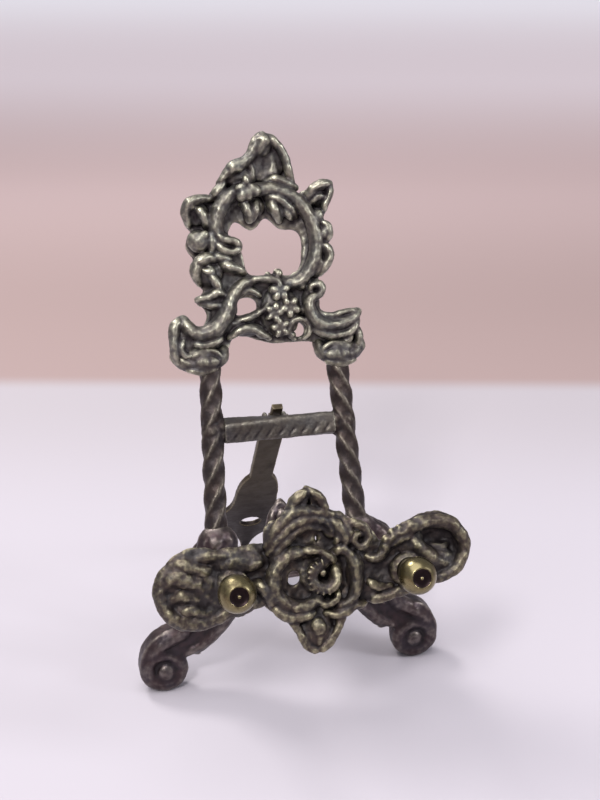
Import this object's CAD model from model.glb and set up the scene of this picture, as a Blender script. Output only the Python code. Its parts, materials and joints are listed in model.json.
"""Looks of the brass easel: cast ornament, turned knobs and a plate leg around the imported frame.

Cast pieces are built as clay, in millimetres: strokes and blobs are laid on a thinned copy of the
CAD piece, fused into one skin, softened, and given a grain.  Clay axes on the leaning frame are
X across, v up the frame and n out of its front.  A foot's clay axes are X, height, and forward.
"""
import json
from math import cos, pi, radians, sin

import bpy
import numpy as np
from mathutils import Matrix, Vector, noise


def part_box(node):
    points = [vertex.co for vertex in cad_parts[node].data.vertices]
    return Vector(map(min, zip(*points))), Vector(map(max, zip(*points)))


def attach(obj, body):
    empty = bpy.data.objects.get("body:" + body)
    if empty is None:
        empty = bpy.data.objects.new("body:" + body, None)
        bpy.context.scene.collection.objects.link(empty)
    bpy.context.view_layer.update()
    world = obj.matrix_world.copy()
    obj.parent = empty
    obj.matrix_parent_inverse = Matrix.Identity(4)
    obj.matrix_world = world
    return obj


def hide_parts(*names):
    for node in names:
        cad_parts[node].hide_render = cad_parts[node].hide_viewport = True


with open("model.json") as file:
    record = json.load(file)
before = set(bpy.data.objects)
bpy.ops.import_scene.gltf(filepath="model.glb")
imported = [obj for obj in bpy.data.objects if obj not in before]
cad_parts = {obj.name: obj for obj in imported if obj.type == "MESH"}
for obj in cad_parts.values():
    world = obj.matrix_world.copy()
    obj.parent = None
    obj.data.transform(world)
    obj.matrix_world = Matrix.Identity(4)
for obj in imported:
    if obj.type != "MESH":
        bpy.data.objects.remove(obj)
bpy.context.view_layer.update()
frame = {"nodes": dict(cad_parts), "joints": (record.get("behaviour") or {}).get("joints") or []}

# ---------------------------------------------------------------- axes and driving sizes, in mm
MM = 0.001
LEAN = radians(18.5)
UP = Vector((0, sin(LEAN), cos(LEAN)))
OUT = Vector((0, -cos(LEAN), sin(LEAN)))
HINGE_V, HINGE_N = 65.917, -4.367          # the hinge in the frame's own axes
HINGE = Vector(frame["joints"][0]["pos_m"]) / MM
ORIGIN = HINGE - HINGE_V * UP - HINGE_N * OUT

POST_BOTTOM, POST_TOP = 41.0, 80.5         # v where the twisted posts start and end
POST_X_BOTTOM, POST_X_TOP = 17.06, 15.54
POST_N_BOTTOM, POST_N_TOP = 4.16, -0.16
POST_RADIUS = 2.5
RUNG_V, RUNG_N = 64.5, 1.59
ROD_X, ROD_V = 18.9, 35.2
KNOB_N = 48.4                              # n of the knobs' centres
KNOB_RADIUS = 3.95
KNOB_FACE = 2.2                            # radius of the flat that is turned into the knob's front
DISC_INNER, DISC_OUTER = 0.3, 1.96         # radii between which that flat is tarnished
COLLAR_N = 42.8                            # n where the collars start
TOE_Z = 5.7
FOOT_DEPTH = {-1: 7.4, 1: 10.0}            # how far behind the frame's foot line each foot stands
TOE_X = {-1: 31.0, 1: 33.0}

LINE_STEPS = 7                             # points of a smooth line for each point given
KEENNESS = 1.15                            # 1 makes a stroke's section round, and more makes it keener
LUMP_SIZE = 4.5                            # of the slow unevenness of a casting
WEAR_ROUNDS, WEAR_FULL = 9, 0.16           # smoothing rounds, and the height that counts as fully worn
BULK_ROUNDS, BULK_FULL = 45, 0.6           # the same for broad shapes

CAMERA_AZIMUTH, CAMERA_ELEVATION, CAMERA_ROLL = radians(-11.92), radians(21.41), radians(0.297)
CAMERA_PLACE = (-0.05139, -0.26307, 0.17357)
CAMERA_LENS = 54.26


def axes(x_axis, y_axis, z_axis, origin):
    """The matrix from clay axes in millimetres to the frame in metres."""
    columns = Matrix((x_axis, y_axis, z_axis)).transposed().to_4x4()
    return Matrix.Translation(Vector(origin) * MM) @ Matrix.Scale(MM, 4) @ columns


LEANED = axes((1, 0, 0), UP, OUT, ORIGIN)


def foot_axes(side):
    """X, height and forward, in the vertical plane that a foot is drawn in."""
    return axes((1, 0, 0), (0, 0, 1), (0, -1, 0), ORIGIN + Vector((0, FOOT_DEPTH[side], 0)))


def new_mesh(name, points, faces):
    """A mesh of the points and faces."""
    mesh = bpy.data.meshes.new(name)
    mesh.from_pydata(points, [], faces)
    return mesh


def show(name, data):
    """A new object of the data, linked into the scene."""
    item = bpy.data.objects.new(name, data)
    bpy.context.scene.collection.objects.link(item)
    return item


# ---------------------------------------------------------------- clay
def spread(values, count):
    """Values given at even steps along a line, read at each of its points."""
    values = np.atleast_1d(np.array(values, float))
    return np.interp(np.linspace(0, 1, count), np.linspace(0, 1, len(values)), values)


def smooth_line(points):
    """A Catmull-Rom line through the points."""
    points = np.array(points, float)
    padded = np.vstack([2 * points[0] - points[1], points, 2 * points[-1] - points[-2]])
    line = []
    for i in range(1, len(padded) - 2):
        a, b, c, d = padded[i - 1:i + 3]
        for t in np.arange(LINE_STEPS) / LINE_STEPS:
            line.append(0.5 * (2 * b + (c - a) * t + (2 * a - 5 * b + 4 * c - d) * t ** 2
                               + (3 * b - a - 3 * c + d) * t ** 3))
    line.append(points[-1])
    return np.array(line)


def unit(vectors):
    """Each row at length one."""
    return vectors / np.maximum(np.linalg.norm(vectors, axis=1, keepdims=True), 1e-9)


def ring_faces(rings, sides):
    """Quads between rings of points, with a cap on each end."""
    faces = []
    for i in range(rings - 1):
        for k in range(sides):
            a, b = i * sides + k, i * sides + (k + 1) % sides
            faces.append((a, b, b + sides, a + sides))
    faces.append(tuple(range(sides))[::-1])
    faces.append(tuple((rings - 1) * sides + k for k in range(sides)))
    return faces


def arc(x, v, rx, rv, first, last, step):
    """Points of an ellipse round X and v, at steps between two angles in degrees."""
    return [(x + rx * cos(a), v + rv * sin(a)) for a in np.radians(range(first, last, step))]


class Clay:
    """Closed meshes in one set of axes, to be fused into one skin.

    Heights of strokes and blobs, along the third axis, are measured from the level.
    """

    SIDES = 16

    def __init__(self):
        self.points, self.faces, self.count = [], [], 0
        self.hollows = []
        self.level = 0.0

    def add(self, points, faces):
        self.points.append(np.array(points, float))
        self.faces += [tuple(i + self.count for i in face) for face in faces]
        self.count += len(points)
        return self

    def cad(self, node, matrix, keep=1.0, about=0.0):
        """A copy of a CAD piece, thinned along the third axis to a share of its thickness."""
        mesh = frame["nodes"][node].data
        back = matrix.inverted()
        points = np.array([back @ v.co for v in mesh.vertices])
        points[:, 2] = about + keep * (points[:, 2] - about)
        return self.add(points, [tuple(p.vertices) for p in mesh.polygons])

    def stroke(self, points, radius, height=0.0, deep=1.0, sink=1.1):
        """A tapered ridge along a smooth line, whose ends dip and close.

        Deep is its depth over its width.  Sink is how many radii the ends dip by, below zero on the
        back of a piece.
        """
        line = smooth_line(points)
        radii = spread(radius, len(line))
        share = np.linspace(-1, 1, len(line))
        heights = self.level + spread(height, len(line)) - sink * radii * np.abs(share) ** 6
        line = np.column_stack([line, heights])
        along = unit(np.gradient(line, axis=0))
        across = unit(np.cross(along, (0, 0, 1)))
        ends = np.radians([80, 55, 25])
        first = [(line[0] - along[0] * radii[0] * sin(a), radii[0] * cos(a), 0) for a in ends]
        last = [(line[-1] + along[-1] * radii[-1] * sin(a), radii[-1] * cos(a), -1) for a in ends[::-1]]
        body = [(line[i], radii[i], i) for i in range(len(line))]
        turn = np.linspace(0, 2 * pi, self.SIDES, endpoint=False)
        wide = (1 + 0.7 * (KEENNESS - 1)) * np.sign(np.cos(turn)) * np.abs(np.cos(turn)) ** KEENNESS
        tall = (1 + 0.5 * (KEENNESS - 1)) * np.sign(np.sin(turn)) * np.abs(np.sin(turn)) ** KEENNESS
        rings = []
        for centre, r, i in first + body + last:
            lift = np.cross(across[i], along[i])
            rings.append(centre + r * np.outer(wide, across[i]) + deep * r * np.outer(tall, lift))
        return self.add(np.vstack(rings), ring_faces(len(rings), self.SIDES))

    def strokes(self, *rows):
        """Several strokes, each given as its points, radius and height."""
        for points, radius, height in rows:
            self.stroke(points, radius, height)

    def blob(self, x, v, n, rx, rv=None, rn=None, turn=0.0):
        """An ellipsoid; turn is its angle in the drawing plane, in degrees."""
        rv, rn = rv or rx, rn or rx
        rows = 9
        grid = []
        for lat in np.linspace(-0.49 * pi, 0.49 * pi, rows):
            for lon in np.linspace(0, 2 * pi, self.SIDES, endpoint=False):
                grid.append((rx * cos(lat) * cos(lon), rv * cos(lat) * sin(lon), rn * sin(lat)))
        grid = np.array(grid)
        c, s = cos(radians(turn)), sin(radians(turn))
        grid = grid @ np.array([[c, s, 0], [-s, c, 0], [0, 0, 1]]) + (x, v, self.level + n)
        return self.add(grid, ring_faces(rows, self.SIDES))

    def blobs(self, *rows):
        """Several blobs, each given as in blob."""
        for row in rows:
            self.blob(*row)

    def beads(self, places, height):
        """Round beads, each given as X, v and radius."""
        for x, v, r in places:
            self.blob(x, v, height, r, r, 0.8 * r)
            self.blob(x, v, height - 0.5 * r, 1.35 * r, 1.35 * r, 0.8 * r)
        return self

    def masses(self, places, height, rise):
        """Low rounded masses under the relief, each given as X, v and its two half widths."""
        for x, v, rx, rv in places:
            self.blob(x, v, height, rx, rv, rise)
        return self

    def twist(self, start, end, radius, turns, swell, phase=0.0):
        """A square bar twisted along a straight line; swell is how far its worn corners stand out."""
        start, end = np.array(start, float), np.array(end, float)
        length = np.linalg.norm(end - start)
        along = (end - start) / length
        side = unit(np.cross(along, (0, 0.3, 1))[None])[0]
        lift = np.cross(side, along)
        rings, sides = int(length / 0.3), 48
        turn = np.linspace(0, 2 * pi, sides, endpoint=False)
        points = []
        for t in np.linspace(0, 1, rings):
            wave = np.cos(4 * (turn - 2 * pi * turns * t - phase))
            r = radius * (1 + swell * wave + 0.35 * swell * wave ** 2)
            centre = start + (end - start) * t
            points.append(centre + np.outer(r * np.cos(turn), side) + np.outer(r * np.sin(turn), lift))
        return self.add(np.vstack(points), ring_faces(rings, sides))

    def deepen(self, share, ground):
        """Stretches the relief that stands in front of the ground by a share."""
        for points in self.points:
            ahead = points[:, 2] > ground
            points[ahead, 2] = ground + share * (points[ahead, 2] - ground)
        return self

    def hollow(self, x, v, rx, rv, depth, turn=0.0):
        """A soft dish pressed into the front once the clay is fused."""
        self.hollows.append((x, v, rx, rv, depth, radians(turn)))
        return self

    def press(self, *dishes):
        """Several hollows, each given as in hollow."""
        for dish in dishes:
            self.hollow(*dish)

    def fused(self, voxel, soften):
        """One closed skin round everything so far, as new clay."""
        mesh = new_mesh("clay", np.vstack(self.points).tolist(), self.faces)
        lump = show("clay", mesh)
        remesh = lump.modifiers.new("skin", "REMESH")
        remesh.mode = "VOXEL"
        remesh.voxel_size = voxel
        smooth = lump.modifiers.new("soften", "SMOOTH")
        smooth.factor = 0.5
        smooth.iterations = soften
        graph = bpy.context.evaluated_depsgraph_get()
        skin = bpy.data.meshes.new_from_object(lump.evaluated_get(graph))
        bpy.data.objects.remove(lump)
        bpy.data.meshes.remove(mesh)
        clay = Clay()
        clay.hollows = self.hollows
        clay.add([v.co[:] for v in skin.vertices], [tuple(p.vertices) for p in skin.polygons])
        bpy.data.meshes.remove(skin)
        return clay


def averaged(points, edges, rounds):
    """Points moved to the middle of their neighbours a few times."""
    a, b = edges[:, 0], edges[:, 1]
    near = np.maximum(np.bincount(edges.ravel(), minlength=len(points)), 1)
    for _ in range(rounds):
        total = np.column_stack([
            np.bincount(a, points[b, k], len(points)) + np.bincount(b, points[a, k], len(points))
            for k in range(3)])
        points = 0.5 * points + 0.5 * total / near[:, None]
    return points


def read_mesh(mesh):
    """Points, normals and edges of a mesh as arrays."""
    count = len(mesh.vertices)
    points, normals = np.empty(3 * count), np.empty(3 * count, np.float32)
    mesh.vertices.foreach_get("co", points)
    mesh.vertex_normals.foreach_get("vector", normals)
    edges = np.empty(2 * len(mesh.edges), np.int32)
    mesh.edges.foreach_get("vertices", edges)
    return points.reshape(-1, 3), normals.reshape(-1, 3), edges.reshape(-1, 2)


def press_hollows(points, normals, hollows):
    """Sinks the front of the skin where the hollows are."""
    for x, v, rx, rv, depth, turn in hollows:
        dx, dv = points[:, 0] - x, points[:, 1] - v
        a = (dx * cos(turn) + dv * sin(turn)) / rx
        b = (dv * cos(turn) - dx * sin(turn)) / rv
        points[:, 2] -= depth * np.exp(-a ** 2 - b ** 2) * np.clip(normals[:, 2], 0, 1)


def melt_relief(points, normals, edges, rounds):
    """Softens the heights of the relief on both faces, and keeps the outline."""
    soft = averaged(points, edges, rounds)
    share = np.clip(1.6 * np.abs(normals[:, 2]) - 0.25, 0, 1)
    points[:, 2] += share * (soft[:, 2] - points[:, 2])


def cast_piece(name, clay, matrix, voxel, soften, grain, ripple, melt=0, grain_size=0.7, floor=None):
    """Fuses the clay, gives it a cast grain and marks where it would be worn or dark.

    Voxel is the mesh size, soften and melt are rounds of smoothing, grain and ripple are how deep the
    fine and the slow unevenness are, and floor is the lowest height.
    """
    skin = clay.fused(voxel, soften)
    mesh = new_mesh(name, np.vstack(skin.points).tolist(), skin.faces)
    points, normals, edges = read_mesh(mesh)
    press_hollows(points, normals, skin.hollows)
    melt_relief(points, normals, edges, melt)
    mesh.vertices.foreach_set("co", points.ravel())
    mesh.update()
    points, normals, edges = read_mesh(mesh)
    lump = [noise.fractal(Vector(p) / LUMP_SIZE, 0.6, 2.0, 3) for p in points]
    speck = [noise.fractal(Vector(p) / grain_size, 0.7, 2.1, 2) for p in points]
    points = points + normals * (ripple * np.array(lump) + grain * np.array(speck))[:, None]
    raised = np.sum((points - averaged(points, edges, WEAR_ROUNDS)) * normals, axis=1)
    broad = np.sum((points - averaged(points, edges, BULK_ROUNDS)) * normals, axis=1)
    if floor is not None:
        points[:, 1] = np.maximum(points[:, 1], floor)
    mesh.vertices.foreach_set("co", points.ravel())
    mesh.transform(matrix)
    mesh.update()
    for label, value, full in (("wear", raised, WEAR_FULL), ("bulk", broad, BULK_FULL)):
        attribute = mesh.attributes.new(label, "FLOAT", "POINT")
        share = 0.5 + 0.5 * np.clip(value / full, -1, 1)
        attribute.data.foreach_set("value", share.astype(np.float32))
    mesh.shade_smooth()
    return show(name, mesh)


def place(piece, body, slot, material, *nodes):
    """Puts a finished piece on its body in place of its CAD pieces."""
    piece.data.materials.clear()
    piece.data.materials.append(material)
    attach(piece, body)
    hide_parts(*nodes)
    return piece


# ---------------------------------------------------------------- crest
def crest_ring(clay):
    """The broad C-scroll round the opening, its curl, and the bar under the opening."""
    ring = [(-7, 107.5), (-9, 109.3), (-11.3, 110.2), (-12.3, 112.5), (-12, 115), (-10.8, 117.5), (-8.8, 119.8),
            (-6, 121.2), (-3, 121.2), (0, 121.3), (2, 121.2), (5, 120.2), (8, 118.2), (10.2, 115), (11.5, 111.5),
            (11.8, 107.5), (11.2, 104.5), (10, 102), (8.2, 99.8), (6, 98.7), (4, 98.6), (2.5, 99.3)]
    clay.stroke(ring, (0.9, 1.5, 1.7, 1.6, 1.4, 1.5, 1.7, 1.6, 1.3, 1), 1.1, deep=0.9)
    clay.strokes(
        ([(-12.5, 111.5), (-10.5, 109.8), (-8, 109.3), (-6.9, 108.2)], 0.85, 1.6),
        ([(-12.5, 109), (-10.5, 107.3), (-8.3, 106.7), (-6.9, 107.6)], 0.75, 1.5),
        ([(-11, 104), (-8.5, 103), (-6, 102)], (1.35, 1.1, 0.8), 1.1),
        ([(-13.2, 106), (-11, 105.4), (-9.2, 105)], (0.9, 0.8, 0.6), 1.1),
        ([(-5, 99.8), (-2, 100), (1, 99.7), (2.5, 98.9)], (0.8, 1, 0.9), 1.3),
    )
    clay.beads([(2, 101.2, 0.95), (-0.4, 101, 0.6)], 1.3)


def crest_top_leaf(clay):
    """The pointed leaf: two rolled rims round a folded hollow, and the flower at its foot."""
    clay.strokes(
        ([(-9, 124), (-7.5, 126.4), (-5, 127.6), (-2.8, 129.4), (-1.5, 132), (0.3, 134)],
         (1, 1.5, 1.4, 1.2, 1.3, 1.1), (1, 1.5, 1.4, 1.3, 1.3, 1)),
        ([(0.5, 133.7), (2.5, 132.6), (4.4, 130.6), (5.6, 128), (6.2, 125), (7, 122)], (1.1, 1.1, 1, 1, 0.9, 0.8),
         (1.3, 1.5, 1.4, 1.2, 1)),
        ([(-1.2, 129.8), (0.1, 132.4), (0.4, 134.6)], (1.4, 1.8, 0.7), (1.3, 1.6, 0.8)),
        ([(-3.6, 127.6), (-2.6, 125.8), (-2.6, 123.8)], (1, 0.8, 0.7), 0.6),
        ([(3.2, 128.6), (2.6, 126.4), (1.4, 124.4)], (0.9, 1.1, 0.8), 0.1),
        ([(-10.5, 123.2), (-9, 125.2), (-7.2, 126.4)], (0.8, 1.1, 1.4), 1.3),
        ([(-12.2, 120.3), (-10.6, 121.9), (-9.4, 123.6)], (1, 1.1, 0.9), 0.9),
        ([(0.2, 123.4), (2.8, 123.6), (5.2, 122.6), (8, 121.4)], (0.6, 1, 1, 0.7), 1),
    )
    clay.blobs((0.1, 131.8, 1.2, 2.1, 2.9, 1.4, 6), (-6.5, 126.4, 1.7, 1.6, 1.3, 1.2))
    for turn, reach in ((-165, 2.4), (-120, 3.2), (-78, 2.9), (-32, 3.1), (95, 2)):
        x, v = -4.6 + 0.6 * reach * cos(radians(turn)), 122.0 + 0.6 * reach * sin(radians(turn))
        clay.blob(x, v, 2.4, 0.66 * reach, 0.5 * reach, 1.2, turn)
    clay.hollow(0.4, 126.9, 1.9, 2.6, 1.5, -14).hollow(3.9, 126.6, 0.9, 2.2, 0.7, 12)


def crest_drops(clay):
    """The three small leaves that hang inside the top of the ring."""
    clay.strokes(
        ([(-5.4, 118.4), (-4.6, 116.6), (-3.6, 114)], (1, 1.1, 0.7), (1.2, 1.6, 1.2)),
        ([(-2.4, 118.6), (-2.4, 116.4), (-3, 114.2)], (0.8, 0.9, 0.6), (1, 1.5, 1.1)),
        ([(1.2, 118.4), (2.2, 116), (3.2, 113.8)], (1, 1.05, 0.7), (1.2, 1.6, 1.1)),
        ([(0.6, 119.4), (3, 118.8), (5.4, 117), (7.4, 114.6)], (0.8, 1.05, 1, 0.7), (1.1, 1.5, 1.3, 0.9)),
        ([(4.4, 117.2), (5.2, 115.4), (6.4, 114)], (0.8, 0.9, 0.6), (0.9, 1.1, 0.8)),
    )
    clay.blobs((-3.6, 115.6, 0.7, 1.5, 2.5, 1.5, -14), (2.7, 115.8, 0.7, 1.4, 2.4, 1.4, 22))


def crest_left_edge(clay):
    """The left ear, its lobe and the two leaves below it."""
    clay.strokes(
        ([(-12.8, 119.6), (-15.6, 119.6), (-18.2, 118.7), (-19.2, 116.5), (-18.4, 113.8)], (0.8, 1, 1.3, 1.1, 0.9),
         (1, 1.3, 1.7, 1.2, 0.8)),
        ([(-16.4, 117.2), (-15, 115.4), (-14.3, 113)], (0.8, 1.05, 0.8), (1.6, 1.4, 1)),
        ([(-13.6, 112), (-13.2, 109.6), (-13.7, 107)], (0.8, 1, 0.7), 1.1),
        ([(-12.6, 105.4), (-15.2, 105.6), (-17.3, 104.2), (-17.9, 101.8), (-16.7, 99.6)], (0.9, 1.25, 1.3, 1.1, 0.8),
         (1.3, 1.6, 1.4, 1)),
        ([(-14.4, 101.8), (-12.8, 99.4), (-11.8, 96.8)], (0.9, 1.1, 0.8), (1.4, 1.2, 0.9)),
        ([(-17.6, 95.8), (-15, 96.4), (-12.8, 97.3), (-11, 96.6)], (0.8, 1.25, 1.1, 0.8), (0.8, 1.4, 1.2)),
        ([(-17, 95), (-14.5, 94.5), (-12, 94.2), (-10.6, 93.6)], (0.7, 1, 0.9, 0.7), (0.7, 1, 0.8)),
    )
    clay.blobs((-18.2, 118, 1.5, 1.5, 1.3, 1.1), (-16.5, 109.6, 0.5, 2.7, 2.9, 2.1),
               (-15.4, 110.8, 1.7, 1.5, 1.1, 0.8, 35), (-14.6, 102.6, 1.1, 2, 1.3, 1.1, -38))
    clay.press((-15.6, 118.2, 1.5, 0.6, 0.9), (-16.9, 115, 0.7, 1.5, 0.9), (-15.6, 103.6, 1.5, 0.5, 1.1, -20),
               (-13.2, 104, 0.9, 0.6, 0.8))


def crest_left_shoulder(clay):
    """The long S-scroll that runs down to the left capital, and the cup over it."""
    clay.strokes(
        ([(-3.5, 99.6), (-6, 99.2), (-8.5, 97.5), (-10, 95), (-11.2, 92), (-13.3, 89.4), (-16, 88), (-18.8, 88.1),
          (-20.5, 89.6), (-21.5, 91.2)], (1.1, 1.2, 1.4, 1.6, 2, 2.1, 1.7, 1.5, 1.4, 1.4),
         (1, 1.1, 1.2, 1.3, 1.3, 1.3)),
        ([(-22, 91.3), (-23.6, 89.5), (-23.8, 86), (-23.6, 83), (-22.8, 80.8)], (1, 1.25, 1.2, 1.1, 0.8),
         (1.3, 1.1, 0.8)),
        ([(-21.4, 86.8), (-22.3, 84.6), (-21.2, 82.8), (-19.4, 83.1)], (0.9, 0.9, 0.8, 0.6), 1.3),
        ([(-19.6, 85.9), (-17.4, 85), (-14.8, 85.3), (-12.4, 86.6)], (0.8, 1.1, 1.1, 0.8), 1),
        ([(-10.5, 86.5), (-8, 88.2), (-5, 88.2), (-3, 87), (-1, 86)], (0.8, 1.05, 1, 0.9, 0.8), 1.3),
        ([(-11.5, 88.4), (-9.5, 89.7), (-7.4, 90)], (0.8, 0.8, 0.6), 0.9),
        ([(-9, 90.3), (-6.5, 90.7), (-4, 91.6), (-1.5, 93), (-0.8, 94.2)], (0.6, 0.75, 0.7, 0.6), 1),
        ([(-9, 92.5), (-8.9, 95), (-7, 97), (-4.5, 97.4), (-2.6, 96.2)], (0.7, 0.65, 0.7, 0.6), 1),
    )
    clay.hollow(-16.4, 91, 1.6, 0.8, 0.5, -20)


def crest_right_edge(clay):
    """The right ear, the eyed lobe and the leaves below it."""
    clay.strokes(
        ([(9.6, 118.4), (11.6, 120.6), (13.8, 121.7), (16.1, 121.9)], (0.9, 1.25, 1.3, 0.9), (1, 1.6, 1.8, 1.5)),
        ([(15.9, 121.4), (15.6, 119.4), (14.6, 117.2), (14, 115.2)], (1, 1, 0.9, 0.7), (1.5, 1.4, 1.1)),
        ([(11.2, 117.8), (12.9, 119.1), (14.6, 118.9)], (0.7, 0.95, 0.8), (1.1, 1.4, 1.2)),
        ([(12.6, 113), (14.6, 112), (15, 109.8), (14, 107.9)], (0.7, 0.95, 0.85, 0.7), (1.2, 1.4, 1)),
        ([(12.8, 107.6), (14.3, 106.6), (14.8, 104.8), (13.8, 102.6), (12.3, 100.6)], (0.8, 1.15, 1.1, 1, 0.7),
         (1.2, 1.5, 1.3, 1)),
        ([(11.9, 105.2), (12.4, 103), (11.2, 100.6)], (0.7, 0.9, 0.7), (1, 1.2, 0.9)),
    )
    clay.blobs((12.4, 114.4, 1.2, 1.6, 1.7, 1.2), (13.6, 110.6, 0.8, 1.7, 2.2, 1.5))
    clay.press((13.4, 120.4, 1.7, 0.45, 1.1, 12), (12.4, 116.6, 0.9, 0.6, 0.7), (13, 111.6, 0.7, 0.9, 1.1),
               (13.3, 105, 0.45, 1, 0.9))


def crest_right_shoulder(clay):
    """The curl and S-scroll that run down to the right capital."""
    clay.strokes(
        ([(9.5, 96.3), (10.3, 97.9), (11.8, 98), (12.5, 96.8), (11.7, 95.5), (10.3, 95), (9.3, 93.8), (9.5, 91.5),
          (10.8, 89.3), (12.8, 88.3), (15.5, 88.2), (18, 88.7), (20, 89.7), (21.2, 90.8)],
         (0.8, 1, 1, 1, 1.3, 1.5, 1.55, 1.4, 1.3, 1.2), (1.2, 1.4, 1.3, 1.3)),
        ([(11.2, 92.2), (12.5, 90.8), (15, 90.4), (17, 90.9), (19, 91.3), (21.3, 91)], (0.6, 0.75, 0.75, 0.8), 1),
        ([(9.5, 88), (11.5, 86.6), (14.5, 85.6), (18, 85.9), (20, 87.2), (21, 89)], (0.7, 1, 1, 1, 0.9), 1.1),
        ([(20.8, 87), (21.3, 84.6), (20.8, 82)], (0.9, 0.95, 0.7), 0.8),
        ([(16.6, 83.6), (18.4, 84.2), (19.3, 85.4)], (0.6, 0.8, 0.6), 1),
    )
    clay.hollow(15.2, 89.2, 2.2, 0.45, 0.6, 4)


def crest_flowers(clay):
    """The cluster of small flowers between the two small piercings."""
    flowers = [(2.2, 97, 2.3, 5, 20), (4.4, 93, 2.3, 5, 50), (0.4, 91.8, 2.2, 5, 0), (1.8, 88.2, 2.2, 5, 30)]
    clay.stroke(arc(6.5, 87.5, 2.5, 2.5, -60, 241, 30), (0.5, 0.65, 0.6), 1)
    for x, v, reach, petals, start in flowers:
        clay.blob(x, v, 0.6, 1.1 * reach, 1.1 * reach, 1.2)
        for k in range(petals):
            a = radians(start + 360 * k / petals)
            petal = (0.6 - 0.06 * (k % 2)) * reach
            clay.blob(x + 0.62 * reach * cos(a), v + 0.62 * reach * sin(a), 1.1 + 0.15 * (k % 2), petal, 0.78 * petal,
                      0.9 * petal, np.degrees(a))
        clay.blob(x, v, 1.6, 0.36 * reach, 0.36 * reach, 0.6)
    clay.beads([(-2.6, 87, 0.95), (8, 92.2, 0.9), (7.8, 98, 0.85), (4.6, 86.2, 0.8)], 0.9)


def make_crest():
    """The pierced and scrolled crest, with a softer, flatter back."""
    base = Clay().cad("crest", LEANED, keep=0.46, about=-2).fused(0.3, 5)
    base.masses([(-16.4, 116.2, 2.9, 3), (-14.4, 102.4, 3.4, 3.6), (-13.6, 95.8, 3.2, 2), (-21, 86, 2.9, 4.6),
                 (-10.6, 107.6, 3, 2.6), (-11.6, 91.4, 3, 4.4), (13.6, 119.4, 2.4, 2.6), (12.8, 111.4, 2.2, 2.8),
                 (12.9, 104, 1.9, 3.2), (16.2, 87.4, 5.4, 2.8), (10, 94, 2.2, 4), (2.2, 92, 5, 6.4),
                 (-6.2, 88.2, 4.4, 1.7), (-2.8, 117.2, 2.8, 2.6), (3.4, 117, 3.2, 2.2), (1, 127.5, 4.4, 5),
                 (-6, 124.4, 4.6, 2.4)], 0, 1.5)
    for part in (crest_ring, crest_top_leaf, crest_drops, crest_left_edge, crest_left_shoulder,
                 crest_right_edge, crest_right_shoulder, crest_flowers):
        part(base)
    base.deepen(1.4, 0)
    return cast_piece("crest_casting", base, LEANED, voxel=0.22, soften=3, melt=9, grain=0.025, ripple=0.24)


def make_capital(name, x, half_width, inset_x, side):
    """A drooping cup under a shoulder, with a smooth oval inset on its front."""
    clay = Clay()
    clay.stroke([(x - half_width, 84), (x - half_width * 0.8, 81.6), (x, 80.4), (x + half_width * 0.8, 81.6),
                 (x + half_width, 84)], (1.3, 1.7, 2, 1.7, 1.3), (-0.1, 0.5, -0.1), deep=1.2)
    clay.blob(x, 82.6, 0, half_width * 0.86, 2.6, 3.1)
    clay.blob(x, 79.8, 0, 3.5, 1.5, 3.3)
    clay.blob(inset_x, 81.1, 2.4, 3.1, 1.55, 1.2)
    clay.strokes(
        ([(inset_x - 3.6, 82.4), (inset_x - 1.5, 83.6), (inset_x + 1.6, 83.6), (inset_x + 3.6, 82.2)], 0.65, 2.1),
        ([(x - 3.4, 79.4), (x, 78.7), (x + 3.4, 79.4)], (0.6, 0.9, 0.6), 2.3),
        ([(x + side * half_width, 85), (x + side * (half_width + 0.5), 82.6), (x + side * (half_width - 1), 80.4)],
         (1, 1.2, 0.8), 0.4),
    )
    clay.hollow(inset_x + 0.6, 81.6, 0.35, 1, 0.5)
    return cast_piece(name, clay, LEANED, voxel=0.24, soften=5, melt=9, grain=0.02, ripple=0.16)


# ---------------------------------------------------------------- posts, rung, lower rail
def make_post(name, side):
    """A twisted post whose ridges are worn round, swelling where the rung meets it."""
    start = (side * POST_X_BOTTOM, POST_BOTTOM, POST_N_BOTTOM)
    end = (side * POST_X_TOP, POST_TOP, POST_N_TOP)
    clay = Clay().twist(start, end, POST_RADIUS, side * 1.6, 0.085, phase=0.5)
    rung_x = side * (POST_X_TOP + (POST_X_BOTTOM - POST_X_TOP) * (POST_TOP - RUNG_V) / (POST_TOP - POST_BOTTOM))
    clay.blob(rung_x, RUNG_V, RUNG_N, 2.7, 3.6, 2.7)
    clay.strokes(
        ([(rung_x, RUNG_V + 3.2), (rung_x - side * 1.6, RUNG_V + 1.2), (rung_x - side * 3.2, RUNG_V)], (1.4, 2, 2.3),
         RUNG_N),
        ([(rung_x, RUNG_V - 3.4), (rung_x - side * 1.6, RUNG_V - 1.2), (rung_x - side * 3.2, RUNG_V)], (1.4, 2, 2.3),
         RUNG_N),
    )
    return cast_piece(name, clay, LEANED, voxel=0.24, soften=3, grain=0.03, ripple=0.12)


def make_rung():
    """The squarish rung with slanting cuts along its front, and the two hinge lugs behind it."""
    half, radius, turns, squareness = 13.4, 2.85, 0.1, 0.1
    clay = Clay().twist((-half, RUNG_V, RUNG_N), (half, RUNG_V, RUNG_N), radius, turns, squareness, phase=0.1)
    for x in np.arange(-10.5, 11, 2.6):
        clay.hollow(x + 0.4 * sin(5 * x), RUNG_V - 1.3, 0.45, 1.6, 0.32, -38)
    for x in (-2.35, 2.35):
        for share in np.linspace(0, 1, 9):
            v = RUNG_V + share * (HINGE_V - RUNG_V)
            n = RUNG_N + share * (HINGE_N - RUNG_N)
            clay.blob(x, v, n, 0.86, 1.9, 1.9)
    return cast_piece("rung_casting", clay, LEANED, voxel=0.2, soften=3, melt=2, grain=0.04, ripple=0.14)


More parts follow.
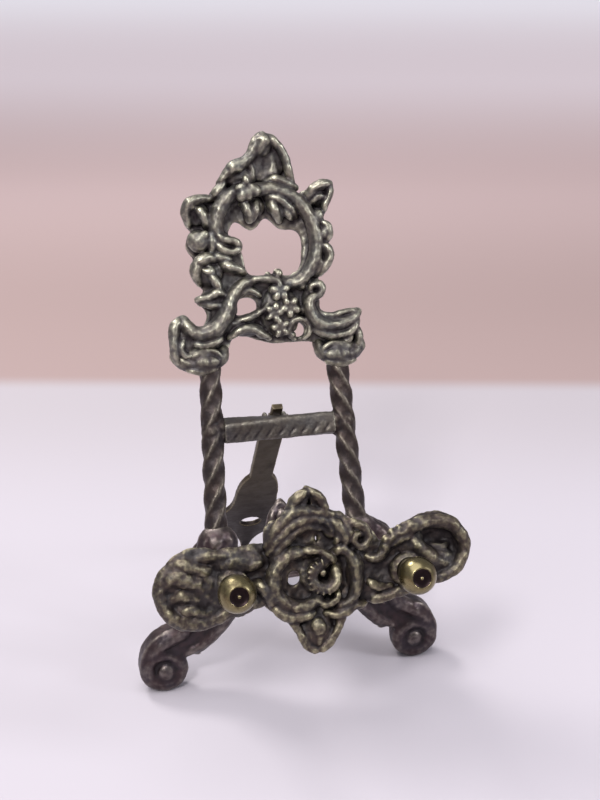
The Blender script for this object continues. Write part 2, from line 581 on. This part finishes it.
def make_lower_rail():
    """The rail between the feet with its upright curled leaf."""
    clay = Clay().cad("lower_rail", LEANED, keep=0.8, about=1.3).fused(0.3, 6)
    clay.stroke([(-10.2, 31.4), (0, 31.4), (10.8, 31.4)], 1.8, 1.1, sink=0)
    clay.strokes(
        ([(-9.5, 33.2), (-4, 33.8), (0, 34.2), (4, 33.8), (9.5, 33.2)], 1.1, 2.4),
        ([(-9.5, 29.6), (0, 28.9), (9.5, 29.6)], 1, 2.4),
        ([(-3.4, 35), (-3.9, 39), (-3.1, 43), (-1, 46.2)], (0.8, 1, 1, 0.8), 1.6),
        ([(1.6, 35), (2, 39), (1.2, 43), (-0.8, 46.3)], (0.8, 1, 1, 0.8), 1.6),
        ([(-0.9, 35.5), (-0.9, 39), (-0.9, 42.6)], (0.9, 1.1, 0.7), 2.2),
    )
    clay.blob(-0.9, 43.2, 2.2, 1.5, 1.9, 1.3)
    clay.strokes(
        ([(-6, 34), (-4.6, 36.2), (-2.6, 37)], (0.7, 0.9, 0.6), 2),
        ([(4.4, 34), (3, 36.2), (1, 37)], (0.7, 0.9, 0.6), 2),
    )
    return cast_piece("lower_rail_casting", clay, LEANED, voxel=0.24, soften=3, melt=5, grain=0.035, ripple=0.15)


# ---------------------------------------------------------------- feet
def make_foot(name, node, side):
    """A foot: domed knee, rolled edges and a scrolled toe with a button at its eye."""
    def mirrored(points):
        return [(side * x, z) for x, z in points]

    matrix = foot_axes(side)
    toe = TOE_X[side]
    clay = Clay().cad(node, matrix, keep=0.72).fused(0.3, 10)
    knee = 22.2 if side < 0 else 25.0
    outer = [(17.6, 38.6), (knee - 1.4, 34.6), (knee - 0.4, 29), (knee - 0.6, 23), (toe - 5, 16.4), (toe - 0.5, 13.4),
             (toe + 2.6, 10.4), (toe + 3.9, 6.4)]
    lower = [(9.5, 25.2), (13.4, 21.6), (toe - 14, 16.6), (toe - 10, 12.4), (toe - 6.8, 10.6), (toe - 4.6, 9)]
    for face in (-1, 1):
        clay.stroke(mirrored(outer), (2.4, 2.6, 2.4, 2.2, 2, 1.9, 1.8, 1.6), face * 1.5, sink=face)
        clay.stroke(mirrored(lower), (1.3, 1.5, 1.5, 1.4, 1.2, 0.9), face * 1.9, sink=face)
        turn = np.radians(np.arange(75, -290, -25))
        size = np.linspace(4.1, 2.2, len(turn))
        spiral = [(toe + r * cos(a), TOE_Z + r * sin(a)) for r, a in zip(size, turn)]
        clay.stroke(mirrored(spiral), (1.8, 1.75, 1.7, 1.3, 0.8), face * 1.6, sink=face)
        clay.blob(side * (toe - 0.5), TOE_Z - 0.2, face * 2.5, 2.3, 2.3, 1.5)
        clay.stroke(mirrored([(12, 30.5), (15.5, 27), (19, 22.4), (toe - 8.5, 16.6)]), (0.8, 1.1, 1, 0.6), face * 2.6,
                    sink=face)
        clay.stroke(mirrored([(10.5, 28), (13.5, 25), (17, 20.6)]), (0.6, 0.9, 0.6), face * 2.6, sink=face)
    clay.blob(side * (knee - 1.6), 33, 0, 3.6, 5.2, 3.9, side * 14)
    clay.stroke([(side * (toe - 6.4), 10.2), (side * (toe - 8.2), 9)], (1.2, 0.7), 0, deep=2)
    return cast_piece(name, clay, matrix, voxel=0.26, soften=5, melt=12, grain=0.012, ripple=0.16, floor=0)


# ---------------------------------------------------------------- ledge
LEDGE_N = 41.0                             # n of the relief on the ledge's front


def ledge_cartouche(clay):
    """The arched ribs, side rings, rosette and leaves at the ledge's middle."""
    ribs = [
        ([(-11.2, 42.8), (-9.8, 45.2), (-7.8, 47.5), (-5.4, 49.4), (-2, 49.6), (1.6, 48.9), (4.6, 48)], 0.95, 0.9),
        ([(-10.9, 41.4), (-9, 44), (-6.2, 46.6), (-2.6, 47.8), (1.2, 47.2), (3, 45)], 0.8, 1.1),
        ([(-10.3, 39.8), (-8.2, 42.6), (-5.6, 44.9), (-2.4, 46.2), (0.8, 45.6)], 0.75, 0.9),
        ([(2, 48), (4, 46.2), (5.5, 43.5), (5.6, 41.6)], 0.85, 1.1),
        ([(5.6, 47), (6.4, 44.8), (6.1, 42)], 0.75, 0.9),
        ([(3.4, 46.6), (4.3, 44.2), (3.6, 42.2)], 0.6, 0.9),
    ]
    clay.strokes(
        (arc(-4.6, 35.3, 5.8, 5.7, 60, 331, 30), (1, 1.5, 1.5, 1.4, 1.1), 0.1),
        ([(-3.5, 41.5), (-1.4, 41.4), (1, 40.4), (2.6, 38.8)], (0.7, 1, 0.9, 0.8), 0.9),
        (arc(4.6, 35, 2.9, 6, 120, -131, -25), (0.9, 1.2, 1.2, 1), 0.2),
        (arc(0.5, 35.8, 2.7, 2.7, 80, 381, 30), (1.1, 1.15, 1.1, 0.9), 1.1),
        ([(-1.8, 31), (0.4, 29.8), (2.8, 30.4), (3.4, 32)], (0.7, 0.9, 0.8, 0.6), 0.6),
    )
    clay.blob(0.3, 36.3, 0.6, 0.75, 0.75, 0.9)
    for points, radius, lift in ribs:
        clay.stroke(points, (0.8 * radius, 1.25 * radius, 1.2 * radius, 0.9 * radius), lift - 0.7)
    for a in np.radians(range(100, 300, 20)):
        clay.blob(0.5 + 3.2 * cos(a), 35.8 + 3.2 * sin(a), 1.8, 0.95, 0.38, 0.55, np.degrees(a))
    clay.hollow(1.1, 35.2, 1.1, 1.3, 1.2).hollow(-4.2, 32.6, 1.6, 1.6, 0.8)


def ledge_leaves(clay):
    """The cupped leaf on top, masses under the ribs, and the ribbed leaf that hangs below."""
    left = [(-7.2, 27), (-6, 25.4), (-5, 23.2), (-3.8, 21), (-2.4, 20.1), (-1.4, 19.9)]
    right = [(4.2, 27), (3.4, 25.2), (2.4, 23.4), (1, 21.6), (-0.4, 20.4), (-1.4, 19.9)]
    clay.strokes(
        ([(-5.8, 50), (-5, 51.6), (-3.6, 53), (-2, 54)], (0.9, 1, 1, 0.8), (0, 0.7)),
        ([(-2, 54), (-0.6, 53.4), (0.6, 52.2), (1.4, 50.4), (1.6, 48.8)], (0.8, 1, 1, 0.9, 0.8), (0.7, 0.4)),
        ([(-3.2, 50.2), (-2.6, 51.8), (-1.9, 53.2)], (0.5, 0.6, 0.5), 0.2),
        ([(-0.6, 50), (-0.6, 51.4), (-1.2, 52.8)], (0.45, 0.55, 0.4), 0.1),
        (left, (0.8, 0.9, 0.9, 0.8, 0.6), 0.3),
        (right, (0.8, 0.9, 0.85, 0.8, 0.6), 0.3),
        ([(-1.2, 26.6), (-1.3, 24), (-1.4, 21)], (0.8, 0.7, 0.4), 0.5),
        ([(-10.2, 30), (-8.4, 28.2), (-5.4, 27.4), (-2, 28)], (0.9, 1.1, 1.1, 0.7), 0.5),
        ([(0.6, 27.6), (3.6, 27.4), (6.6, 28.6), (9, 28.8)], (0.7, 1, 1, 0.9), 0.4),
    )
    clay.blobs((-1.4, 24, -0.8, 3.8, 4, 1.7), (-1.3, 25.2, 0.6, 1.6, 1.9, 1.3))
    clay.masses([(-9.4, 44, 2.6, 4.2), (-3.6, 47.6, 5, 1.8), (3.6, 46, 3, 3), (7.6, 35, 2, 5)], -0.9, 1.4)
    clay.hollow(-1.6, 50.9, 1.5, 1.1, 0.9)


def ledge_left_lobe(clay):
    """The left lobe: a bulging, crumpled leaf with broad folds, and the recess by the rod."""
    rim = [(-12, 42.2), (-16, 41.9), (-20, 41.8), (-24, 41.7), (-28, 41.3), (-30.4, 40.4), (-32.4, 38.8),
           (-33.6, 36.4), (-33.5, 33.4), (-32, 30.6), (-29.4, 28.8), (-26.4, 28.2), (-24, 28.5), (-20, 29.8),
           (-17, 29.8), (-14, 31)]
    folds = [
        ([(-31.4, 39.8), (-28.6, 40.6), (-25.4, 39.2), (-22.4, 38.4)], 1.6, -0.6),
        ([(-33, 36.4), (-30.4, 38.2), (-27.4, 36.6), (-24.4, 36.4)], 2, -0.5),
        ([(-32.4, 33), (-29.4, 34.4), (-26.6, 33.2), (-24.2, 33.4)], 1.7, -0.7),
        ([(-30.4, 30.8), (-27.6, 31.2), (-24.4, 30.2), (-21.8, 31)], 1.5, -0.7),
    ]
    clay.strokes(
        (rim, (1.1, 1.4, 1.3, 1.3, 1.4, 1.6, 1.7, 1.7, 1.4, 1.2), -1),
        ([(-13.5, 35.4), (-12.2, 34), (-10.8, 32.4), (-10.2, 30.4)], (0.9, 1.4, 1.4, 1), -0.1),
        ([(-12.4, 39.8), (-14.6, 39.2), (-16.8, 39.6)], (0.9, 1.2, 0.8), -0.4),
    )
    clay.masses([(-26.4, 35, 7.4, 6.8), (-30, 37.4, 4.2, 3.8), (-17, 40, 6, 2.6), (-17, 31.6, 6, 2.2)], -1.5, 2.1)
    for points, radius, lift in folds:
        clay.stroke(points, (0.7 * radius, radius, 0.9 * radius, 0.5 * radius), lift)
    clay.press((-16.2, 36.6, 2.4, 2.2, 1.3), (-22.4, 38.4, 1.4, 1.2, 0.9), (-29.8, 36, 2.3, 0.5, 0.6, -14),
               (-27.2, 32.5, 2.4, 0.45, 0.5, -8), (-28, 38.7, 2.2, 0.4, 0.5, 6), (-24.8, 36.8, 0.5, 1.6, 0.6, 20))


def ledge_right_lobe(clay):
    """The right lobe: a dished bowl with a granular rim, an inner ridge and the small volute."""
    rim = [(10.4, 38.6), (12, 38), (13.8, 39), (15, 41.4), (16.6, 42.6), (18.6, 43.6), (21, 44.6), (24, 45),
           (27.4, 44.8), (29.6, 43.6), (31, 42), (31.9, 39.8), (31.7, 37.6), (30.6, 35.6), (28.8, 33.8), (26, 32.8),
           (23.4, 32.6), (20.4, 31.4), (17, 30.4), (14, 29.8), (11.6, 29.4)]
    volute = [(6, 46.4), (8, 46.2), (9.8, 45.2), (10.6, 43.6), (10.2, 41.9), (8.8, 41.1), (7.6, 42), (7.9, 43.5),
              (9, 43.7)]
    clay.strokes(
        (rim, (0.9, 1.1, 1.4, 1.5, 1.4, 1.3, 1.2, 1.2, 1.2, 1.2, 1), -0.3),
        ([(19.6, 42.2), (21.4, 40), (23.6, 38), (26, 36.2), (28.4, 35.4)], (1, 1.4, 1.5, 1.3, 0.8), -0.5),
        ([(24.8, 39.8), (26.6, 39), (28.8, 39.6)], (0.5, 0.7, 0.5), -0.9),
        ([(15.4, 40.6), (17.6, 41.8), (20.2, 42.6)], (0.9, 1.1, 0.9), -0.1),
        (volute, (0.8, 0.95, 0.95, 0.9, 0.85, 0.7, 0.6), 0.6),
        ([(10.2, 33.4), (12.6, 32), (15.4, 31.8)], (0.6, 0.8, 0.6), -0.4),
    )
    clay.masses([(23.4, 36.4, 7, 3.4), (20, 40.6, 3.4, 2.6)], -1.5, 1.9)
    clay.beads([(16, 43.2, 0.8), (17.6, 44, 0.8), (14.6, 42, 0.75), (19.4, 44.6, 0.7), (16.6, 41.2, 0.7)], 0.3)
    clay.press((26.2, 41, 3.4, 2.1, 1.5, -12), (13.4, 35, 2.2, 2.2, 0.9), (29.2, 38.6, 1.4, 1.8, 0.8))


def make_ledge():
    """The ledge plate: thinned CAD plate with the relief and the rods' bosses on it."""
    base = Clay().cad("ledge_plate", LEANED, keep=0.5, about=37.9).fused(0.3, 5)
    base.level = LEDGE_N
    for part in (ledge_cartouche, ledge_leaves, ledge_left_lobe, ledge_right_lobe):
        part(base)
    for side in (-1, 1):
        base.blob(side * ROD_X, ROD_V, -0.4, 3.7, 3.7, 1.7)
    base.deepen(1.15, LEDGE_N - 1)
    return cast_piece("ledge_casting", base, LEANED, voxel=0.22, soften=3, melt=10, grain=0.04, grain_size=0.55,
                      ripple=0.34)


# ---------------------------------------------------------------- leg and turned pieces
def make_leg():
    """The plate leg, its sawn edges softened, with the hinge eye of the CAD piece."""
    clay = Clay().cad("back_leg", Matrix.Scale(MM, 4))
    return cast_piece("back_leg_plate", clay, Matrix.Scale(MM, 4), voxel=0.25, soften=3, grain=0.012, grain_size=1.6,
                      ripple=0.04)


def turned_piece(name, profile, matrix, sides=96):
    """A lathe-turned solid; the profile is radius and height, from axis to axis."""
    turn = np.linspace(0, 2 * pi, sides, endpoint=False)
    points = [(0, 0, profile[0][1])]
    for radius, height in profile[1:-1]:
        points += [(radius * cos(a), radius * sin(a), height) for a in turn]
    points.append((0, 0, profile[-1][1]))
    rings, last = len(profile) - 2, len(points) - 1
    faces = []
    for k in range(sides):
        after = (k + 1) % sides
        faces.append((0, 1 + after, 1 + k))
        faces.append((last, last - sides + k, last - sides + after))
        for i in range(rings - 1):
            a, b = 1 + i * sides + k, 1 + i * sides + after
            faces.append((a, b, b + sides, a + sides))
    mesh = new_mesh(name, points, faces)
    mesh.transform(matrix)
    mesh.update()
    mesh.shade_smooth()
    return show(name, mesh)


def rod_matrix(side, n):
    """Axes along a rod: its own Z runs out of the frame, from height n."""
    return LEANED @ Matrix.Translation((side * ROD_X, ROD_V, n))


def make_knob(word, side):
    """A polished ball with a turned flat at the front, a fine lip, a centre pip and a back seat."""
    front = (KNOB_RADIUS ** 2 - KNOB_FACE ** 2) ** 0.5
    profile = [(0, front + 0.12), (0.2, front + 0.08), (0.34, front - 0.1), (0.5, front - 0.16),
               (KNOB_FACE - 0.32, front - 0.16), (KNOB_FACE - 0.22, front - 0.02), (KNOB_FACE - 0.08, front + 0.02)]
    profile += [(KNOB_RADIUS * sin(radians(a)), KNOB_RADIUS * cos(radians(a))) for a in np.linspace(34.5, 138, 46)]
    profile += [(2.45, -3.0), (0, -3.0)]
    return turned_piece(word + "_knob_ball", profile[::-1], rod_matrix(side, KNOB_N))


def make_collar(word, side):
    """A tapered collar with a turned groove and a soft lip at each end."""
    profile = [(0, 0), (2.7, 0), (2.95, 0.12), (3.0, 0.3), (2.92, 0.6), (2.86, 0.9), (2.68, 1.0), (2.64, 1.12),
               (2.7, 1.25), (2.74, 1.5), (2.66, 2.0), (2.56, 2.3), (2.48, 2.48), (2.3, 2.58), (0, 2.58)]
    return turned_piece(word + "_collar_ring", profile, rod_matrix(side, COLLAR_N), 72)


def make_rod(word, side):
    """A drawn rod with a shouldered, thinner nose."""
    profile = [(0, -1.5), (1.3, -1.5), (1.4, -1.3), (1.4, 10), (1.38, 20), (1.4, 30), (1.4, 37.2), (1.3, 37.4),
               (1.1, 37.4), (1.1, 48.7), (0, 48.7)]
    return turned_piece(word + "_rod_bar", profile, rod_matrix(side, 0), 48)


def make_pin():
    """The hinge pin with a peened dome at each end."""
    low, high = (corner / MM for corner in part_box("hinge_pin"))
    centre, half = (low + high) / 2, (high.x - low.x) / 2
    dome = [(0, half + 0.05), (0.5, half), (0.9, half - 0.14), (1.12, half - 0.34), (1.13, half - 0.48),
            (0.7, half - 0.5)]
    profile = [(r, -h) for r, h in dome] + dome[::-1]
    turned = Matrix.Translation(centre * MM) @ Matrix.Scale(MM, 4) @ Matrix.Rotation(pi / 2, 4, "Y")
    return turned_piece("hinge_pin_rivet", profile, turned, 48)


# ---------------------------------------------------------------- materials
class Paint:
    """A material under construction: its nodes, and a few ways to join them."""

    def __init__(self, name):
        self.material = bpy.data.materials.new(name)
        self.material.use_nodes = True
        self.tree = self.material.node_tree
        self.shader = self.tree.nodes["Principled BSDF"]
        self.coords = self.node("TexCoord").outputs["Object"]

    def node(self, kind, **sockets):
        """A node of the kind, with values or links given by socket."""
        made = self.tree.nodes.new("ShaderNode" + kind)
        for key, value in sockets.items():
            self.feed(made.inputs[key.replace("_", " ")], value)
        return made

    def feed(self, socket, value):
        if isinstance(value, bpy.types.NodeSocket):
            self.tree.links.new(value, socket)
        else:
            socket.default_value = value

    def surface(self, **sockets):
        """Sets or links inputs of the shader, such as Base_Color."""
        for key, value in sockets.items():
            self.feed(self.shader.inputs[key.replace("_", " ")], value)

    def noise(self, size, detail=4.0, roughness=0.6, stretch=None):
        """Noise whose features are about size millimetres."""
        coords = self.coords
        if stretch:
            mapping = self.node("Mapping", Vector=coords, Scale=stretch)
            coords = mapping.outputs["Vector"]
        made = self.node("TexNoise", Vector=coords, Scale=1 / (size * MM), Detail=detail, Roughness=roughness)
        return made.outputs["Fac"]

    def ramp(self, value, low, high, first=0.0, last=1.0):
        """The value's range from low to high, read smoothly as first to last."""
        made = self.node("MapRange", Value=value)
        made.interpolation_type = "SMOOTHSTEP"
        for index, number in enumerate((low, high, first, last), 1):
            made.inputs[index].default_value = number
        return made.outputs["Result"]

    def maths(self, operation, a, b=0.0):
        made = self.node("Math")
        made.operation = operation
        self.feed(made.inputs[0], a)
        self.feed(made.inputs[1], b)
        return made.outputs["Value"]

    def mix(self, share, a, b):
        """Colour a where share is 0, and b where it is 1."""
        made = self.node("Mix")
        made.data_type = "RGBA"
        self.feed(made.inputs["Factor"], share)
        self.feed(made.inputs["A"], a)
        self.feed(made.inputs["B"], b)
        return made.outputs["Result"]

    def attribute(self, name):
        made = self.node("Attribute")
        made.attribute_name = name
        return made.outputs["Fac"]

    def bump(self, *layers):
        """Stacks bumps, each a height, its depth in millimetres and its strength."""
        normal = None
        for height, depth, strength in layers:
            made = self.node("Bump", Height=height, Distance=depth * MM, Strength=strength)
            if normal:
                self.feed(made.inputs["Normal"], normal)
            normal = made.outputs["Normal"]
        self.surface(Normal=normal)


def srgb(red, green, blue):
    """A colour given as it looks on a screen, 0 to 255."""
    return tuple(((c / 255 + 0.055) / 1.055) ** 2.4 if c > 10 else c / 255 / 12.92 for c in (red, green, blue)) + (1,)


def cast_brass(name, recess, middle, worn, tint, shine, metal=0.92, tint_share=0.5, grain=0.05, patchy=0.35):
    """Old cast brass: dark in the recesses, rubbed pale on the ridges, with a patchy patina."""
    paint = Paint(name)
    patch = paint.noise(5.0, 5)
    mottle = paint.noise(1.1, 6, 0.7)
    fine = paint.noise(0.32, 4, 0.7)
    wear = paint.attribute("wear")
    bulk = paint.attribute("bulk")
    rough_wear = paint.maths("ADD", wear, paint.maths("MULTIPLY", paint.maths("SUBTRACT", mottle, 0.5), patchy))
    height = paint.maths("ADD", paint.maths("MULTIPLY", rough_wear, 0.5), paint.maths("MULTIPLY", bulk, 0.5))
    colour = paint.mix(paint.ramp(patch, 0.38, 0.66, 0.0, tint_share), middle, tint)
    colour = paint.mix(paint.ramp(height, 0.56, 0.3), colour, recess)
    rubbed = paint.maths("MULTIPLY", paint.ramp(height, 0.5, 0.86), paint.ramp(fine, 0.25, 0.6, 0.65, 1.0))
    colour = paint.mix(rubbed, colour, worn)
    roughness = paint.maths("ADD", paint.ramp(rubbed, 0, 1, *shine), paint.maths("MULTIPLY", mottle, 0.14))
    metallic = paint.ramp(height, 0.3, 0.6, 0.45 * metal, metal)
    paint.surface(Base_Color=colour, Roughness=roughness, Metallic=metallic, Specular_IOR_Level=0.5)
    paint.bump((fine, grain, 0.7), (mottle, 1.6 * grain, 0.45))
    return paint.material


def plate_brass(name, upper, lower, worn):
    """Rolled brass plate with an olive patina, fine draw lines and stains."""
    paint = Paint(name)
    stain = paint.noise(6.0, 5, 0.6)
    lines = paint.noise(0.9, 3, 0.5, stretch=(3.5, 0.35, 0.35))
    fine = paint.noise(0.25, 3)
    place_z = paint.node("SeparateXYZ", Vector=paint.coords).outputs["Z"]
    low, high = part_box("back_leg")
    colour = paint.mix(paint.ramp(place_z, low.z + 0.2 * (high.z - low.z), low.z + 0.6 * (high.z - low.z)), lower,
                       upper)
    colour = paint.mix(paint.ramp(stain, 0.5, 0.75, 0.0, 0.6), colour, lower)
    edge = paint.ramp(paint.attribute("wear"), 0.58, 0.85)
    colour = paint.mix(paint.maths("MULTIPLY", edge, paint.ramp(fine, 0.3, 0.6)), colour, worn)
    paint.surface(Base_Color=colour, Metallic=0.7, Roughness=paint.ramp(stain, 0.3, 0.7, 0.38, 0.55))
    paint.bump((lines, 0.03, 0.5), (fine, 0.02, 0.4))
    return paint.material


def turned_brass(name, bright, dull, roughness, tarnish):
    """Turned and polished brass: hairline tool marks, fingerprints and a little tarnish."""
    paint = Paint(name)
    cloud = paint.noise(3.2, 5, 0.6)
    smudge = paint.noise(0.8, 4, 0.7)
    marks = paint.noise(0.12, 2, 0.5)
    share = paint.maths("MULTIPLY", paint.ramp(cloud, 0.42, 0.7), paint.ramp(smudge, 0.3, 0.7, 0.3, 1.0))
    colour = paint.mix(paint.maths("MULTIPLY", share, tarnish), bright, dull)
    rough = paint.ramp(cloud, 0.3, 0.75, roughness, roughness + 0.16)
    paint.surface(Base_Color=colour, Metallic=1.0, Roughness=rough)
    paint.bump((marks, 0.008, 0.35), (smudge, 0.012, 0.25))
    return paint.material


# ---------------------------------------------------------------- the object
cup_brass = cast_brass(
    "cup_patina", srgb(30, 24, 28), srgb(82, 75, 73), srgb(196, 192, 170), srgb(74, 76, 82), (0.42, 0.27), 0.93,
    patchy=0.2)
crest_brass = cast_brass(
    "crest_patina", srgb(36, 29, 33), srgb(103, 97, 92), srgb(222, 219, 196), srgb(88, 92, 96), (0.42, 0.27), 0.94,
    patchy=0.2)
bar_brass = cast_brass(
    "bar_patina", srgb(24, 17, 20), srgb(62, 52, 50), srgb(142, 134, 122), srgb(56, 54, 58), (0.42, 0.3))
rung_brass = cast_brass(
    "rung_patina", srgb(34, 28, 30), srgb(92, 85, 80), srgb(176, 171, 156), srgb(84, 84, 88), (0.4, 0.28))
foot_brass = cast_brass(
    "foot_patina", srgb(24, 16, 20), srgb(68, 55, 57), srgb(160, 150, 142), srgb(60, 60, 68), (0.34, 0.24),
    patchy=0.15)
ledge_brass = cast_brass(
    "ledge_patina", srgb(24, 17, 20), srgb(76, 66, 62), srgb(172, 164, 136), srgb(64, 66, 70), (0.42, 0.28),
    tint_share=0.6, grain=0.08, patchy=0.22)
rod_brass = turned_brass("rod_tarnish", srgb(90, 86, 74), srgb(54, 49, 46), 0.36, 0.9)
knob_brass = turned_brass("knob_polish", srgb(134, 124, 92), srgb(74, 64, 52), 0.24, 0.85)
disc_brass = turned_brass("knob_face_tarnish", srgb(44, 35, 36), srgb(30, 24, 25), 0.34, 0.8)
collar_brass = turned_brass("collar_tarnish", srgb(74, 67, 54), srgb(46, 40, 36), 0.3, 0.9)
pin_brass = turned_brass("pin_tarnish", srgb(112, 104, 82), srgb(64, 58, 48), 0.32, 0.7)
leg_brass = plate_brass("leg_patina", srgb(74, 64, 48), srgb(42, 33, 30), srgb(128, 118, 96))

place(make_crest(), "stand", "crest_brass", crest_brass, "crest")
place(make_capital("left_capital_cup", -17.6, 5.6, -16.4, -1), "stand", "crest_brass", cup_brass, "left_capital")
place(make_capital("right_capital_cup", 16.2, 4.9, 15.4, 1), "stand", "crest_brass", cup_brass, "right_capital")
place(make_rung(), "stand", "bar_brass", rung_brass, "rung")
place(make_lower_rail(), "stand", "foot_brass", foot_brass, "lower_rail")
place(make_ledge(), "stand", "ledge_brass", ledge_brass, "ledge_plate")
place(make_leg(), "leg", "leg_brass", leg_brass, "back_leg")
place(make_pin(), "stand", "pin_brass", pin_brass, "hinge_pin")
for word, side in (("left", -1), ("right", 1)):
    place(make_post(word + "_post_bar", side), "stand", "bar_brass", bar_brass, word + "_post")
    place(make_foot(word + "_foot_casting", word + "_foot", side), "stand", "foot_brass", foot_brass, word + "_foot")
    place(make_rod(word, side), "stand", "rod_brass", rod_brass, word + "_rod")
    place(make_collar(word, side), "stand", "knob_brass", collar_brass, word + "_collar")
    knob = place(make_knob(word, side), "stand", "knob_brass", knob_brass, word + "_knob")
    knob.data.materials.append(disc_brass)
    front = rod_matrix(side, KNOB_N + KNOB_RADIUS).translation
    for polygon in knob.data.polygons:
        offset = polygon.center - front
        if DISC_INNER < offset.cross(OUT).length / MM < DISC_OUTER and offset.dot(OUT) > -KNOB_RADIUS * MM:
            polygon.material_index = 1


# ---------------------------------------------------------------- floor, light and camera
def make_floor():
    """A pale tabletop that turns to a soft pink further off, and pale again in the distance.

    Its bands lie square to the camera, and each is given as start and end in metres, and colour.
    """
    reach = 12.0
    corners = [(-reach, -reach, 0), (reach, -reach, 0), (reach, reach, 0), (-reach, reach, 0)]
    mesh = new_mesh("floor", corners, [(0, 1, 2, 3)])
    floor = show("floor", mesh)
    floor.rotation_euler = (0, 0, CAMERA_AZIMUTH)
    paint = Paint("floor_paper")
    parts = paint.node("SeparateXYZ", Vector=paint.coords).outputs
    across = paint.maths("MULTIPLY", paint.maths("ABSOLUTE", parts["X"]), 0.3)
    away = paint.maths("MAXIMUM", across, paint.maths("ABSOLUTE", parts["Y"]))
    colour = paint.mix(paint.ramp(away, 0.06, 0.17), srgb(186, 180, 189), srgb(178, 171, 178))
    bands = ((0.184, 0.202, srgb(163, 142, 141)), (0.28, 0.6, srgb(190, 168, 169)),
             (0.6, 1.3, srgb(222, 210, 217)), (1.3, 3.0, srgb(241, 238, 246)))
    for start, end, tone in bands:
        colour = paint.mix(paint.ramp(away, start, end), colour, tone)
    paint.surface(Base_Color=colour, Roughness=0.7, Specular_IOR_Level=0.2)
    mesh.materials.append(paint.material)


def add_light(name, place_at, target, size, watts, colour):
    """A square soft box that faces its target."""
    light = bpy.data.lights.new(name, "AREA")
    light.size, light.energy, light.color = size, watts, colour
    holder = show(name, light)
    holder.location = place_at
    holder.rotation_euler = (Vector(target) - Vector(place_at)).to_track_quat("-Z", "Y").to_euler()


def make_lights():
    """A wide, soft light from above, three soft boxes for glints, and a dim, even room."""
    sky = bpy.data.lights.new("soft_daylight", "SUN")
    sky.energy, sky.angle, sky.color = 1.9, radians(60), (1.0, 0.99, 0.98)
    holder = show("soft_daylight", sky)
    holder.rotation_euler = Vector((0.25, 0.1, -1)).to_track_quat("-Z", "Y").to_euler()
    middle = (0, 0, 0.07)
    add_light("back_softbox", (-0.25, 0.35, 0.55), middle, 0.16, 2.2, (1.0, 0.98, 0.94))
    add_light("front_softbox", (-0.28, -0.5, 0.55), middle, 0.12, 3.0, (1.0, 0.99, 0.97))
    add_light("side_softbox", (0.45, -0.25, 0.35), middle, 0.12, 1.2, (0.95, 0.97, 1.0))
    world = bpy.data.worlds.new("room")
    world.use_nodes = True
    world.node_tree.nodes["Background"].inputs["Color"].default_value = (0.86, 0.84, 0.9, 1)
    world.node_tree.nodes["Background"].inputs["Strength"].default_value = 0.36
    bpy.context.scene.world = world
    bpy.context.scene.view_settings.view_transform = "Standard"


def make_camera():
    """The camera, where the picture was taken from."""
    flat = Vector((sin(CAMERA_AZIMUTH), -cos(CAMERA_AZIMUTH), 0))
    back = flat * cos(CAMERA_ELEVATION) + Vector((0, 0, sin(CAMERA_ELEVATION)))
    level = Vector((cos(CAMERA_AZIMUTH), sin(CAMERA_AZIMUTH), 0))
    right = level * cos(CAMERA_ROLL) + back.cross(level) * sin(CAMERA_ROLL)
    turned = Matrix((right, back.cross(right), back)).transposed().to_4x4()
    data = bpy.data.cameras.new("camera")
    data.lens = CAMERA_LENS
    data.clip_start, data.clip_end = 0.01, 30
    camera = show("camera", data)
    camera.matrix_world = Matrix.Translation(CAMERA_PLACE) @ turned
    bpy.context.scene.camera = camera


make_floor()
make_lights()
make_camera()
